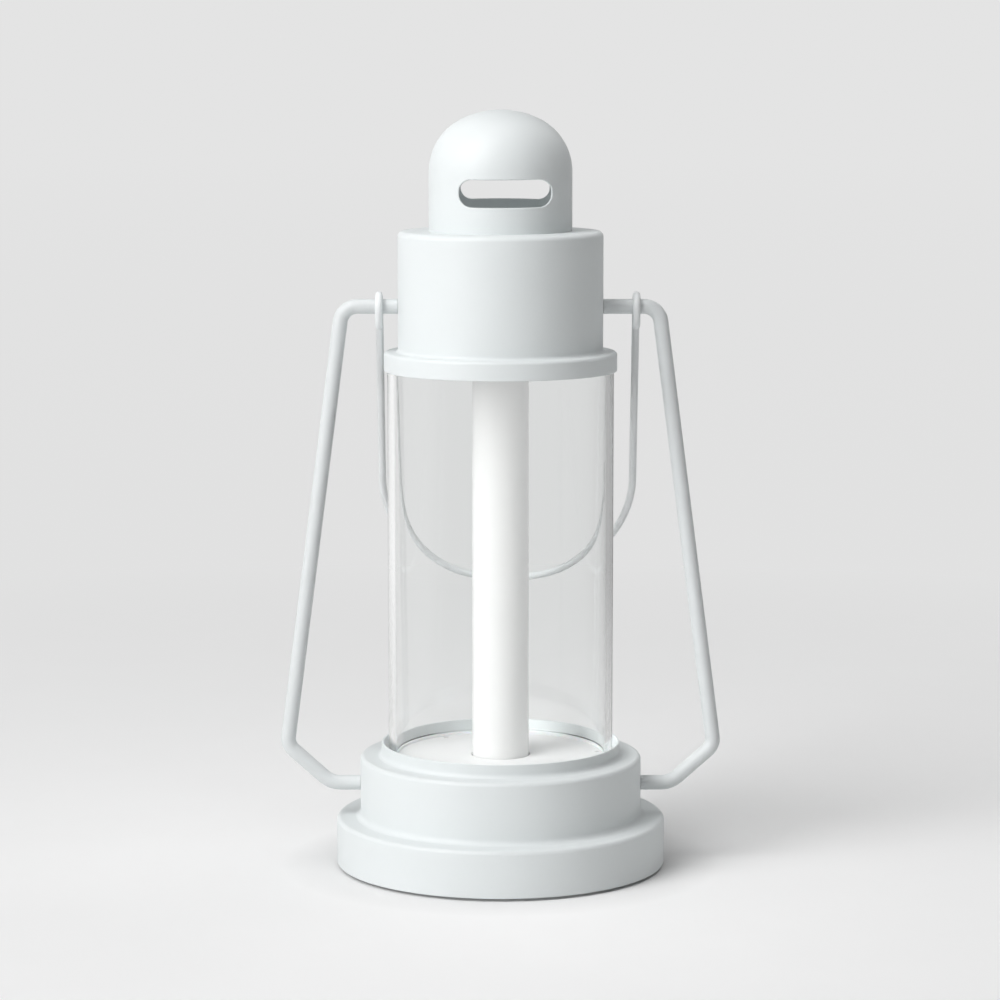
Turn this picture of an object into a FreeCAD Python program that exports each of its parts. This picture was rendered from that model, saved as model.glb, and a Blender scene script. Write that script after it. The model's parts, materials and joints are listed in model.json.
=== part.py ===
import FreeCAD, Part
import math
import os

from FreeCAD import Vector

# A lantern table lamp: a two-tier pressed steel base with a battery bay, a glass chimney round an
# opal light tube, a drum with a slotted dome on top, two bent side rods and a swinging wire bail.
# Millimetres. Z = 0 is the table, Z is the lamp's axis, the front faces -Y and +X is to the right.

# ---- Driving dimensions ------------------------------------------------------------------------

# Pressed steel
sheet = 0.8
sheet_edge_round = 0.3
seat_gap = 0.05

# Base shell: two tiers and a collar round the foot of the glass
base_lift = 1.0
lower_tier_radius = 58.2
lower_tier_height = 16.5
upper_tier_radius = 49.8
upper_tier_height = 21.8
glass_collar_gap = 1.65
collar_height = 4.8
tier_edge_round = 1.5
tier_foot_fillet = 2.0
collar_foot_fillet = 1.6

# Deck plate inside the collar
deck_rise = 1.0
deck_collar_gap = 0.3
deck_hole_gap = 0.5
deck_screw_inset = 2.0
deck_screw_count = 3
deck_screw_angle = 5.0
deck_burr_wall = 0.7
deck_burr_depth = 1.2
deck_screw_tip_depth = 0.5

# Glass chimney and its two sealing rings
glass_radius = 39.75
glass_wall = 2.5
glass_edge_bevel = 0.4
glass_exposed_length = 132.1
ring_thickness = 0.8
ring_overhang = 0.2

# Top housing: glass flange and drum
glass_flange_gap = 0.3
flange_height = 6.7
flange_edge_round = 1.2
drum_radius = 35.9
drum_height = 42.1
drum_edge_round = 2.0
drum_foot_fillet = 1.2

# Dome cap
dome_radius = 25.0
dome_height = 42.0
dome_wall = 1.0
dome_crown_radius = 31.0
dome_shoulder_radius = 20.5
dome_flange_thickness = 1.2
dome_flange_width = 9.5
slot_height = 9.4
slot_width = 31.4
slot_corner_radius = 4.2
slot_edge_round = 0.4
slot_centre_above_drum = 13.8
slot_sideways = 1.6
slot_rise_to_back = 1.1

# Machine screws
small_screw_radius = 1.1
small_head_radius = 2.1
small_head_height = 1.3
cover_screw_radius = 1.5
cover_head_radius = 2.8
screw_hole_gap = 0.1
drive_recess_radius = 0.9
drive_recess_depth = 0.6
dome_screw_count = 3
dome_screw_inset = 5.5
dome_screw_angle = 90.0
dome_screw_length = 3.2

# Ceiling pan pushed up inside the drum
pan_clearance = 0.1
pan_wall_height = 9.0

# Light tube and the two sockets that hold it
tube_radius = 10.0
tube_wall = 1.5
tube_fit_gap = 0.1
tube_tail_below_deck = 10.4
tube_head_above_pan = 10.2
socket_wall = 2.4
socket_floor = 2.0
socket_flange_thickness = 2.2
socket_flange_rim = 5.5
socket_wire_hole_radius = 3.0
socket_screw_count = 3
socket_screw_angle = 5.0
socket_screw_beyond_cup = 2.7
socket_screw_length = 3.6
socket_end_gap = 0.2
spider_arm_width = 9.0

# Light engine inside the tube
core_side = 7.0
core_sides = 4
core_wall = 1.0
plug_length = 5.0
plug_recess_depth = 3.0
plug_recess_gap = 0.1
plug_wire_hole_radius = 2.0
core_end_gap = 0.2
strip_width = 5.0
strip_thickness = 0.4
strip_end_margin = 6.0
chip_width = 2.8
chip_height = 3.5
chip_thickness = 0.7
chip_pitch = 11.0

# Side rods, their threaded ends, nuts and washers
rod_radius = 2.6
rod_upper_height_in_drum = 15.7
rod_lower_height_in_tier = 11.4
rod_shoulder_beyond_bail = 10.4
rod_flare = 20.3
rod_elbow_rise = 13.7
rod_knee_stub = 10.6
rod_shoulder_bend = 6.0
rod_elbow_bend = 5.5
rod_knee_bend = 9.0
stud_radius = 2.0
stud_length = 7.0
stud_hole_gap = 0.15
washer_radius = 4.5
washer_thickness = 0.8
nut_across_flats = 7.0
nut_sides = 6
nut_thickness = 3.2

# Wire bail
wire_radius = 1.3
eye_clearance = 0.08
eye_slack = 3.1
eye_tip_turn = 105.0
bail_flange_gap = 4.15
bail_drop = 109.9
bail_corner_radius = 40.0
bail_bottom_radius = 75.0
bail_sideways = 2.5
bail_rest_gap = 0.15

# Bottom cover with the battery bay
cover_inset = 0.4
cover_gap = 0.3
cover_thickness = 3.0
cover_lip_height = 5.0
cover_lip_wall = 1.2
post_count = 3
post_lip_gap = 0.3
post_radius = 2.4
post_angle = 90.0
cover_screw_length = 8.0
pad_count = 4
pad_inset = 9.9
pad_radius = 4.5
pad_angle = 45.0
pad_edge_bevel = 0.4

# Cells, contacts and bay
cell_radius = 7.15
cell_body_length = 49.3
cell_nub_length = 1.2
cell_nub_radius = 2.7
cell_edge_bevel = 0.5
cell_count = 3
cell_pitch = 15.0
cell_floor_gap = 0.9
bay_wall = 1.4
bay_side_gap = 0.35
bay_vault_gap = 0.25
bay_vault_rise = 3.0
bay_centre_y = -6.0
contact_sheet = 0.4
contact_width = 8.0
contact_height = 10.0
contact_dimple_height = 0.6
contact_dimple_radius = 2.0
contact_spring_depth = 4.0
contact_spring_width = 5.0
contact_spring_rise = 8.0
contact_gap = 0.1
contact_link_height = 3.0
contact_tab_width = 3.0
contact_tab_slot_gap = 0.1
contact_tab_above_lead = 1.2

# Battery door
door_thickness = 1.8
door_gap = 0.3
door_barrel_radius = 1.5
door_pin_radius = 0.8
door_pin_clearance = 0.07
door_pin_length = 2.4
door_pin_end_gap = 0.2
door_notch_radius = 7.0
door_notch_depth = 1.0
door_rib_height = 0.6
door_rib_width = 1.4
door_rib_spacing = 30.0
door_grip_count = 4
door_grip_pitch = 1.8
door_grip_length = 14.0
door_grip_width = 0.8
door_grip_height = 0.3

# Slide switch
switch_y = 31.0
switch_length = 14.0
switch_width = 7.0
switch_height = 5.6
switch_travel = 3.0
switch_floor = 0.8
knob_length = 4.6
knob_width = 2.6
knob_recess = 0.4
shoe_length = 5.2
shoe_width = 4.2
shoe_height = 2.2
knob_end_gap = 0.3
knob_side_gap = 0.1
knob_groove_width = 0.5
knob_groove_depth = 0.4
knob_groove_pitch = 1.2
scoop_length = 15.0
scoop_width = 8.0
scoop_depth = 1.4
scoop_corner_radius = 2.0
switch_rib_thickness = 1.2
switch_rib_height = 4.5
switch_rib_gap = 0.1
terminal_count = 2
terminal_pitch = 6.0
terminal_width = 1.2
terminal_thickness = 0.5
terminal_length = 3.0

# Driver board
board_length = 34.0
board_width = 16.0
board_thickness = 1.6
board_corner_radius = 1.5
board_centre_y = -22.5
board_post_height = 2.6
board_post_radius = 2.6
board_screw_spacing = 27.0
board_screw_length = 3.6
lead_radius = 0.6
lead_spacing = 1.8
lead_bend = 2.0
lead_rise_into_core = 3.0
battery_lead_reach = 5.7
battery_lead_spread = 4.5
capacitor_radius = 2.5
capacitor_height = 5.0
capacitor_x = 6.0
coil_side = 5.0
coil_height = 3.0
chip_package_length = 5.0
chip_package_width = 4.0
chip_package_height = 1.5
chip_package_x = -6.0

# ---- Heights that follow from the driving dimensions --------------------------------------------

collar_radius = glass_radius + glass_collar_gap + sheet
flange_radius = glass_radius + glass_flange_gap + sheet

lower_tier_top = base_lift + lower_tier_height
upper_tier_top = lower_tier_top + upper_tier_height
collar_top = upper_tier_top + collar_height
flange_bottom = collar_top + glass_exposed_length
flange_top = flange_bottom + flange_height
drum_top = flange_top + drum_height
dome_top = drum_top + dome_height
dome_flange_inner_radius = dome_radius - dome_flange_width
dome_screw_circle = dome_radius - dome_screw_inset

upper_tier_inner_radius = upper_tier_radius - sheet
collar_inner_radius = collar_radius - sheet
drum_inner_radius = drum_radius - sheet
deck_ring_top = upper_tier_top - sheet
deck_top = deck_ring_top + deck_rise
deck_underside = deck_top - sheet
deck_hole_radius = tube_radius + deck_hole_gap
deck_screw_circle = glass_radius - glass_wall - deck_screw_inset
glass_bottom = deck_top + ring_thickness
pan_bottom = flange_top - sheet
pan_top = pan_bottom + sheet
glass_top = pan_bottom - ring_thickness

tube_bottom = deck_underside - tube_tail_below_deck
tube_top = pan_top + tube_head_above_pan
tube_inner_radius = tube_radius - tube_wall
socket_bore_radius = tube_radius + tube_fit_gap
socket_outer_radius = socket_bore_radius + socket_wall
socket_flange_radius = socket_outer_radius + socket_flange_rim
socket_screw_circle = socket_outer_radius + socket_screw_beyond_cup
core_bottom = tube_bottom + plug_length - plug_recess_depth
core_top = tube_top - plug_length + plug_recess_depth - core_end_gap

rod_upper_z = flange_top + rod_upper_height_in_drum
rod_lower_z = lower_tier_top + rod_lower_height_in_tier
bail_half_width = flange_radius + bail_flange_gap
rod_shoulder_reach = bail_half_width + rod_shoulder_beyond_bail
rod_elbow_reach = rod_shoulder_reach + rod_flare
rod_knee_reach = upper_tier_radius + rod_knee_stub

cover_bottom = base_lift + cover_inset
cover_top = cover_bottom + cover_thickness
cover_radius = lower_tier_radius - sheet - cover_gap
post_circle = cover_radius - cover_lip_wall - post_lip_gap - post_radius
pad_circle = cover_radius - pad_inset
cell_axis_z = cover_bottom + door_thickness + cell_floor_gap + cell_radius
bay_ceiling = cell_axis_z + cell_radius + bay_vault_gap
bay_top = bay_ceiling + bay_wall
cell_length = cell_body_length + cell_nub_length
bay_length = cell_length + 2 * (contact_sheet + contact_gap) + contact_spring_depth + contact_dimple_height
bay_width = (cell_count - 1) * cell_pitch + 2 * (cell_radius + bay_side_gap)
bay_front_y = bay_centre_y - bay_width / 2
bay_back_y = bay_centre_y + bay_width / 2
hinge_y = bay_front_y + door_gap + door_barrel_radius
hinge_z = cover_bottom + door_barrel_radius
board_z = bay_top + board_post_height
lead_z = board_z + board_thickness / 2
knob_rest_x = -switch_travel / 2

UP = Vector(0, 0, 1)
RIGHT = Vector(1, 0, 0)
BACK = Vector(0, 1, 0)
FULL_TURN = 360.0
HALF_TURN = FULL_TURN / 2
QUARTER_TURN = FULL_TURN / 4
TINY = 1e-6


# ---- Geometry helpers ---------------------------------------------------------------------------

def in_section(radius, height):
    """A point of a turned section, drawn on the XZ plane."""
    return Vector(radius, 0, height)


def polar(radius, angle, height=0.0):
    """A point at an angle in degrees from +X towards +Y."""
    turn = math.radians(angle)
    return Vector(radius * math.cos(turn), radius * math.sin(turn), height)


def spaced_angles(count, first):
    """Equal steps round the axis, in degrees."""
    return [first + FULL_TURN * step / count for step in range(count)]


def bend(before, corner, after, radius):
    """Start, middle and end of the tangent arc that rounds one corner."""
    back = (before - corner).normalize()
    ahead = (after - corner).normalize()
    half_angle = back.getAngle(ahead) / 2
    bisector = (back + ahead).normalize()
    centre = corner + bisector * (radius / math.sin(half_angle))
    setback = radius / math.tan(half_angle)
    return corner + back * setback, centre - bisector * radius, corner + ahead * setback


def rounded_path(corners, closed=False):
    """A wire of straight runs and tangent arcs through (point, bend radius) corners."""
    count = len(corners)
    stops = []
    for index, (corner, radius) in enumerate(corners):
        if radius > 0:
            before = corners[index - 1][0]
            after = corners[(index + 1) % count][0]
            stops.append(bend(before, corner, after, radius))
        else:
            stops.append((corner, None, corner))
    edges = []
    for index, (arrive, middle, leave) in enumerate(stops):
        if middle is not None:
            edges.append(Part.Arc(arrive, middle, leave).toShape())
        following = stops[(index + 1) % count][0]
        if (closed or index < count - 1) and leave.distanceToPoint(following) > TINY:
            edges.append(Part.makeLine(leave, following))
    return Part.Wire(edges)


def turned(corners):
    """A solid of revolution from (radius, height, corner radius) section corners."""
    section = [(in_section(radius, height), rounding) for radius, height, rounding in corners]
    face = Part.Face(rounded_path(section, closed=True))
    return face.revolve(Vector(0, 0, 0), UP, FULL_TURN)


def cylinder(radius, start, length, direction=UP):
    return Part.makeCylinder(radius, length, start, direction)


def ring(outer_radius, inner_radius, bottom, height):
    """A plain ring round the lamp's axis."""
    outer = cylinder(outer_radius, Vector(0, 0, bottom), height)
    return outer.cut(cylinder(inner_radius, Vector(0, 0, bottom), height))


def block(centre_x, centre_y, bottom, length, width, height):
    """A box centred on a point, standing on a height."""
    corner = Vector(centre_x - length / 2, centre_y - width / 2, bottom)
    return Part.makeBox(length, width, height, corner)


def rounded_slab(centre_x, centre_y, bottom, length, width, height, corner_radius):
    """A flat plate with rounded corners."""
    half_length = length / 2
    half_width = width / 2
    corners = []
    for along, across in ((-1, -1), (1, -1), (1, 1), (-1, 1)):
        corner = Vector(centre_x + along * half_length, centre_y + across * half_width, bottom)
        corners.append((corner, corner_radius))
    return Part.Face(rounded_path(corners, closed=True)).extrude(UP * height)


def bent_rod(path, radius, start_direction):
    """A round rod swept along a wire, from the wire's first point."""
    start = path.OrderedVertexes[0].Point
    profile = Part.Wire([Part.makeCircle(radius, start, start_direction)])
    return path.makePipeShell([profile], True, False)


def pan_head_screw(seat, direction, length, radius=small_screw_radius):
    """A pan head screw whose head sits on the seat and whose shank runs along the direction."""
    shank = cylinder(radius, seat, length, direction)
    head_top = seat - direction * small_head_height
    head = cylinder(small_head_radius, head_top, small_head_height, direction)
    recess = cylinder(drive_recess_radius, head_top, drive_recess_depth, direction)
    return shank.fuse(head).removeSplitter().cut(recess)


def countersunk_screw(face_point, direction, length):
    """A countersunk screw, flush at the face point, running along the direction."""
    cone_depth = cover_head_radius - cover_screw_radius
    head = Part.makeCone(cover_head_radius, cover_screw_radius, cone_depth, face_point, direction)
    shank = cylinder(cover_screw_radius, face_point, length, direction)
    recess = cylinder(drive_recess_radius, face_point, drive_recess_depth, direction)
    return shank.fuse(head).cut(recess)


def hex_nut(start, direction, bore_radius):
    """A hexagon nut with its first face at the start point."""
    corner_radius = nut_across_flats / math.sqrt(3)
    third_axis = direction.cross(BACK)
    points = []
    for step in range(nut_sides + 1):
        turn = math.radians(FULL_TURN * step / nut_sides)
        offset = BACK * math.cos(turn) + third_axis * math.sin(turn)
        points.append(start + offset * corner_radius)
    prism = Part.Face(Part.makePolygon(points)).extrude(direction * nut_thickness)
    return prism.cut(cylinder(bore_radius, start, nut_thickness, direction))


def export(name, solids):
    """Write one node; several solids go into one compound."""
    group = solids if isinstance(solids, list) else [solids]
    shape = group[0] if len(group) == 1 else Part.makeCompound(group)
    shape.exportStep(os.path.join("parts", name + ".step"))
    print(f"{name}: {len(shape.Solids)} solids, {shape.Volume:.1f} mm3, valid {shape.isValid()}")


# ---- Base ---------------------------------------------------------------------------------------

def make_base_shell():
    """Lower tier, upper tier and collar pressed from one sheet, open below and inside the collar."""
    shell = turned([
        (lower_tier_radius, base_lift, sheet_edge_round),
        (lower_tier_radius, lower_tier_top, tier_edge_round),
        (upper_tier_radius, lower_tier_top, tier_foot_fillet),
        (upper_tier_radius, upper_tier_top, tier_edge_round),
        (collar_radius, upper_tier_top, collar_foot_fillet),
        (collar_radius, collar_top, sheet_edge_round),
        (collar_inner_radius, collar_top, sheet_edge_round),
        (collar_inner_radius, upper_tier_top - sheet, 0),
        (upper_tier_inner_radius, upper_tier_top - sheet, tier_edge_round - sheet),
        (upper_tier_inner_radius, lower_tier_top - sheet, tier_foot_fillet + sheet),
        (lower_tier_radius - sheet, lower_tier_top - sheet, tier_edge_round - sheet),
        (lower_tier_radius - sheet, base_lift, 0),
    ])
    return shell.cut(stud_holes(rod_lower_z, lower_tier_radius))


def stud_holes(height, reach):
    """Both holes for the rods' threaded ends, as one cutter from side to side."""
    hole_radius = stud_radius + stud_hole_gap
    return cylinder(hole_radius, Vector(-reach, 0, height), 2 * reach, RIGHT)


def deck_screw_points(height):
    return [polar(deck_screw_circle, angle, height)
            for angle in spaced_angles(deck_screw_count, deck_screw_angle)]


def make_deck_plate():
    """The floor of the glass: a raised disc in the collar, its ring held under the upper tier."""
    raised_radius = collar_inner_radius - deck_collar_gap
    ring_radius = upper_tier_inner_radius - tier_edge_round
    plate = turned([
        (ring_radius, deck_ring_top - sheet, 0),
        (ring_radius, deck_ring_top, 0),
        (raised_radius, deck_ring_top, 0),
        (raised_radius, deck_top, 0),
        (deck_hole_radius, deck_top, 0),
        (deck_hole_radius, deck_underside, 0),
        (raised_radius - sheet, deck_underside, 0),
        (raised_radius - sheet, deck_ring_top - sheet, 0),
    ])
    hole_radius = small_screw_radius + screw_hole_gap
    for point in deck_screw_points(deck_top):
        burr_height = sheet + deck_burr_depth
        plate = plate.fuse(cylinder(hole_radius + deck_burr_wall, point - UP * sheet, deck_burr_depth, -UP))
        plate = plate.cut(cylinder(hole_radius, point, burr_height, -UP))
    return plate


def make_tube_base_socket():
    """The cup that holds the tube's foot, with three arms screwed up under the deck plate."""
    arm_bottom = deck_underside - deck_burr_depth - socket_flange_thickness
    cup_bottom = tube_bottom - socket_floor
    socket = cylinder(socket_outer_radius, Vector(0, 0, cup_bottom), deck_underside - cup_bottom)
    arm_length = deck_screw_circle + spider_arm_width / 2
    for angle in spaced_angles(deck_screw_count, deck_screw_angle):
        arm = rounded_slab(arm_length / 2, 0, arm_bottom, arm_length, spider_arm_width,
                           socket_flange_thickness, spider_arm_width / 2)
        arm.rotate(Vector(0, 0, 0), UP, angle)
        socket = socket.fuse(arm)
    socket = socket.cut(cylinder(socket_bore_radius, Vector(0, 0, tube_bottom), tube_tail_below_deck))
    socket = socket.cut(cylinder(socket_wire_hole_radius, Vector(0, 0, cup_bottom), socket_floor))
    for point in deck_screw_points(arm_bottom):
        socket = socket.cut(cylinder(small_screw_radius + screw_hole_gap, point, socket_flange_thickness))
    return socket.removeSplitter()


def make_deck_screws():
    """Screws up through the socket's arms, their tips just below the deck's face."""
    seat = deck_underside - deck_burr_depth - socket_flange_thickness
    length = deck_top - deck_screw_tip_depth - seat
    return [pan_head_screw(point, UP, length) for point in deck_screw_points(seat)]


def make_cover_posts():
    """Threaded posts welded under the lower tier for the cover's screws."""
    posts = []
    for angle in spaced_angles(post_count, post_angle):
        foot = polar(post_circle, angle, cover_top)
        post = cylinder(post_radius, foot, lower_tier_top - sheet - cover_top)
        posts.append(post.cut(cylinder(cover_screw_radius + screw_hole_gap, foot, cover_screw_length)))
    return posts


def make_cover_screws():
    return [countersunk_screw(polar(post_circle, angle, cover_bottom), UP, cover_screw_length)
            for angle in spaced_angles(post_count, post_angle)]


def make_foot_pads():
    pad = turned([
        (0, 0, 0),
        (pad_radius - pad_edge_bevel, 0, 0),
        (pad_radius, pad_edge_bevel, 0),
        (pad_radius, cover_bottom, 0),
        (0, cover_bottom, 0),
    ])
    pads = []
    for angle in spaced_angles(pad_count, pad_angle):
        copy = pad.copy()
        copy.translate(polar(pad_circle, angle))
        pads.append(copy)
    return pads


# ---- Bottom cover, battery bay and door ---------------------------------------------------------

def make_bottom_cover():
    """The moulded cover: a lipped disc with the battery bay, switch scoop and board posts."""
    lip_top = cover_top + cover_lip_height
    lip_inner_radius = cover_radius - cover_lip_wall
    cover = turned([
        (0, cover_bottom, 0),
        (cover_radius, cover_bottom, sheet_edge_round),
        (cover_radius, lip_top, 0),
        (lip_inner_radius, lip_top, 0),
        (lip_inner_radius, cover_top, 0),
        (0, cover_top, 0),
    ])
    cover = cover.fuse(block(0, bay_centre_y, cover_top, bay_length + 2 * bay_wall,
                             bay_width + 2 * bay_wall, bay_top - cover_top))
    post_hole_radius = small_screw_radius + screw_hole_gap
    for side in (-1, 1):
        foot = Vector(side * board_screw_spacing / 2, board_centre_y, bay_top)
        cover = cover.fuse(cylinder(board_post_radius, foot, board_post_height))
        cover = cover.cut(cylinder(post_hole_radius, foot, board_post_height))
    for side in (-1, 1):
        rib_x = side * (switch_length / 2 + switch_rib_gap + switch_rib_thickness / 2)
        cover = cover.fuse(block(rib_x, switch_y, cover_top, switch_rib_thickness, switch_width,
                                 switch_rib_height))
    cover = cover.cut(bay_cavity())
    for side, y in tab_places():
        cover = cover.cut(tab_slot(side, y))
    cover = cover.cut(hinge_pin(door_pin_radius + door_pin_clearance, door_pin_end_gap))
    cover = cover.cut(rounded_slab(0, switch_y, cover_bottom, scoop_length, scoop_width,
                                   scoop_depth, scoop_corner_radius))
    cover = cover.cut(switch_slot(cover_bottom + scoop_depth, cover_thickness - scoop_depth))
    cone_depth = cover_head_radius - cover_screw_radius
    hole_radius = cover_screw_radius + screw_hole_gap
    for angle in spaced_angles(post_count, post_angle):
        point = polar(post_circle, angle, cover_bottom)
        cover = cover.cut(cylinder(hole_radius, point, cover_thickness))
        countersink = Part.makeCone(cover_head_radius + screw_hole_gap, hole_radius, cone_depth, point, UP)
        cover = cover.cut(countersink)
    return cover.removeSplitter()


def bay_cavity():
    """The room for the cells: a straight-sided pocket with a round vault over each cell."""
    cavity = block(0, bay_centre_y, cover_bottom, bay_length, bay_width,
                   cell_axis_z + bay_vault_rise - cover_bottom)
    for y, _side in cell_sides():
        start = Vector(-bay_length / 2, y, cell_axis_z)
        cavity = cavity.fuse(cylinder(cell_radius + bay_vault_gap, start, bay_length, RIGHT))
    return cavity


def tab_slot(side, y):
    """The slot in the bay's roof that a contact's solder tab comes up through."""
    centre_x = side * (bay_length - contact_sheet) / 2
    bottom = cell_axis_z + contact_height / 2
    return block(centre_x, y, bottom, contact_sheet + 2 * contact_tab_slot_gap,
                 contact_tab_width + 2 * contact_tab_slot_gap, bay_top - bottom)


def hinge_pin(radius, end_gap):
    """The line of the door's hinge, from one pin's end to the other's."""
    half_length = bay_length / 2 + door_pin_length + end_gap
    return cylinder(radius, Vector(-half_length, hinge_y, hinge_z), 2 * half_length, RIGHT)


def make_battery_door():
    """The door panel with its hinge barrel, two end pins, cell ribs, a thumb notch and grip ridges."""
    length = bay_length - 2 * door_gap
    free_y = bay_back_y - door_gap
    width = free_y - hinge_y
    door = block(0, hinge_y + width / 2, cover_bottom, length, width, door_thickness)
    for side in (-1, 1):
        rib_length = width - 2 * door_barrel_radius
        door = door.fuse(block(side * door_rib_spacing / 2, hinge_y + width / 2,
                               cover_bottom + door_thickness, door_rib_width, rib_length, door_rib_height))
    barrel_start = Vector(-length / 2, hinge_y, hinge_z)
    door = door.fuse(cylinder(door_barrel_radius, barrel_start, length, RIGHT))
    door = door.fuse(hinge_pin(door_pin_radius, 0))
    notch = cylinder(door_notch_radius, Vector(0, free_y, cover_bottom), door_notch_depth)
    door = door.cut(notch)
    for number in range(1, door_grip_count + 1):
        ridge_y = free_y - door_notch_radius - number * door_grip_pitch
        door = door.fuse(block(0, ridge_y, cover_bottom - door_grip_height, door_grip_length,
                               door_grip_width, door_grip_height))
    return door.removeSplitter()


def cell_sides():
    """Each cell's y and the side its button faces, turn about."""
    first = bay_centre_y - (cell_count - 1) * cell_pitch / 2
    return [(first + index * cell_pitch, 1 if index % 2 == 0 else -1) for index in range(cell_count)]


def make_aa_cells():
    """Round cells lying along X, head to tail."""
    cells = []
    button_end = bay_length / 2 - contact_sheet - contact_dimple_height - contact_gap
    for y, side in cell_sides():
        cell = turned([
            (0, 0, 0),
            (cell_radius - cell_edge_bevel, 0, 0),
            (cell_radius, cell_edge_bevel, 0),
            (cell_radius, cell_body_length - cell_edge_bevel, 0),
            (cell_radius - cell_edge_bevel, cell_body_length, 0),
            (cell_nub_radius, cell_body_length, 0),
            (cell_nub_radius, cell_length, 0),
            (0, cell_length, 0),
        ])
        cell.rotate(Vector(0, 0, 0), BACK, side * QUARTER_TURN)
        cell.translate(Vector(side * (button_end - cell_length), y, cell_axis_z))
        cells.append(cell)
    return cells


def tab_places():
    """Side and y of the two end contacts: the last cell's button and the first cell's spring."""
    first_y, first_side = cell_sides()[0]
    last_y, last_side = cell_sides()[-1]
    return [(last_side, last_y), (-first_side, first_y)]


def contact_plate(side, y):
    """A flat tinned plate on the bay's end wall, with a solder tab on the two end contacts."""
    centre_x = side * (bay_length - contact_sheet) / 2
    bottom = cell_axis_z - contact_height / 2
    plate = block(centre_x, y, bottom, contact_sheet, contact_width, contact_height)
    if (side, y) in tab_places():
        tab_height = lead_z + contact_tab_above_lead - bottom
        plate = plate.fuse(block(centre_x, y, bottom, contact_sheet, contact_tab_width, tab_height))
    return plate.removeSplitter()


def make_button_contacts():
    """Plates with a raised dimple, facing each cell's button."""
    contacts = []
    for y, side in cell_sides():
        face = Vector(side * (bay_length / 2 - contact_sheet), y, cell_axis_z)
        dimple = cylinder(contact_dimple_radius, face, contact_dimple_height, Vector(-side, 0, 0))
        contacts.append(contact_plate(side, y).fuse(dimple))
    return contacts


def bowed_strip(root, side, depth, rise):
    """Edge of a bowed strip: up from its lower foot, out by its depth and back to its upper foot."""
    low = root - UP * (rise / 2)
    high = root + UP * (rise / 2)
    middle = root + Vector(side * depth, 0, 0)
    return low, middle, high


def make_spring_contacts():
    """Plates with a bowed leaf that pushes each cell towards its button contact."""
    contacts = []
    for y, side in cell_sides():
        root = Vector(-side * (bay_length / 2 - contact_sheet), y - contact_spring_width / 2, cell_axis_z)
        outer = bowed_strip(root, side, contact_spring_depth, contact_spring_rise)
        inner = bowed_strip(root, side, contact_spring_depth - contact_sheet,
                            contact_spring_rise - 2 * contact_sheet)
        outline = Part.Wire([
            Part.Arc(*outer).toShape(),
            Part.makeLine(outer[2], inner[2]),
            Part.Arc(*reversed(inner)).toShape(),
            Part.makeLine(inner[0], outer[0]),
        ])
        leaf = Part.Face(outline).extrude(Vector(0, contact_spring_width, 0))
        contacts.append(contact_plate(-side, y).fuse(leaf).removeSplitter())
    return contacts


def make_contact_links():
    """Flat strips that join neighbouring contacts, so that the cells are in series."""
    links = []
    for y, side in cell_sides()[:-1]:
        links.append(block(side * (bay_length - contact_sheet) / 2, y + cell_pitch / 2,
                           cell_axis_z - contact_link_height, contact_sheet,
                           cell_pitch - contact_width, contact_link_height))
    return links


# ---- Switch and driver board --------------------------------------------------------------------

def switch_slot(bottom, height):
    """The slot that the knob's stem travels in."""
    length = knob_length + switch_travel + 2 * knob_end_gap
    return block(0, switch_y, bottom, length, knob_width + 2 * knob_side_gap, height)


def make_switch_body():
    """The switch's case, with the pocket that the knob's shoe slides in."""
    body = block(0, switch_y, cover_top, switch_length, switch_width, switch_height)
    pocket_length = shoe_length + switch_travel + 2 * knob_end_gap
    body = body.cut(block(0, switch_y, cover_top + switch_floor, pocket_length,
                          shoe_width + 2 * knob_side_gap, shoe_height + 2 * knob_side_gap))
    return body.cut(switch_slot(cover_top, switch_floor))


def make_switch_knob():
    """The sliding knob: a shoe inside the case and a grooved stem in the cover's scoop."""
    shoe_bottom = cover_top + switch_floor + knob_side_gap
    stem_bottom = cover_bottom + knob_recess
    knob = block(knob_rest_x, switch_y, shoe_bottom, shoe_length, shoe_width, shoe_height)
    knob = knob.fuse(block(knob_rest_x, switch_y, stem_bottom, knob_length, knob_width,
                           shoe_bottom - stem_bottom))
    for step in (-1, 0, 1):
        groove_x = knob_rest_x + step * knob_groove_pitch
        knob = knob.cut(block(groove_x, switch_y, stem_bottom, knob_groove_width, knob_width,
                              knob_groove_depth))
    return knob


def terminal_x():
    """Each terminal's x, evenly spaced about the switch's middle."""
    first = -(terminal_count - 1) * terminal_pitch / 2
    return [first + index * terminal_pitch for index in range(terminal_count)]


def make_switch_terminals():
    return [block(x, switch_y, cover_top + switch_height, terminal_width, terminal_thickness,
                  terminal_length) for x in terminal_x()]


def board_screw_points(height):
    return [Vector(side * board_screw_spacing / 2, board_centre_y, height) for side in (-1, 1)]


def make_driver_board():
    board = rounded_slab(0, board_centre_y, board_z, board_length, board_width,
                         board_thickness, board_corner_radius)
    for point in board_screw_points(board_z):
        board = board.cut(cylinder(small_screw_radius + screw_hole_gap, point, board_thickness))
    return board


def make_board_parts():
    """The capacitor, the coil and the driver chip, standing on the board."""
    top = board_z + board_thickness
    return [
        cylinder(capacitor_radius, Vector(capacitor_x, board_centre_y, top), capacitor_height),
        block(0, board_centre_y, top, coil_side, coil_side, coil_height),
        block(chip_package_x, board_centre_y, top, chip_package_length, chip_package_width,
              chip_package_height),
    ]


def make_board_screws():
    seat = board_z + board_thickness
    return [pan_head_screw(point, -UP, board_screw_length) for point in board_screw_points(seat)]


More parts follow.
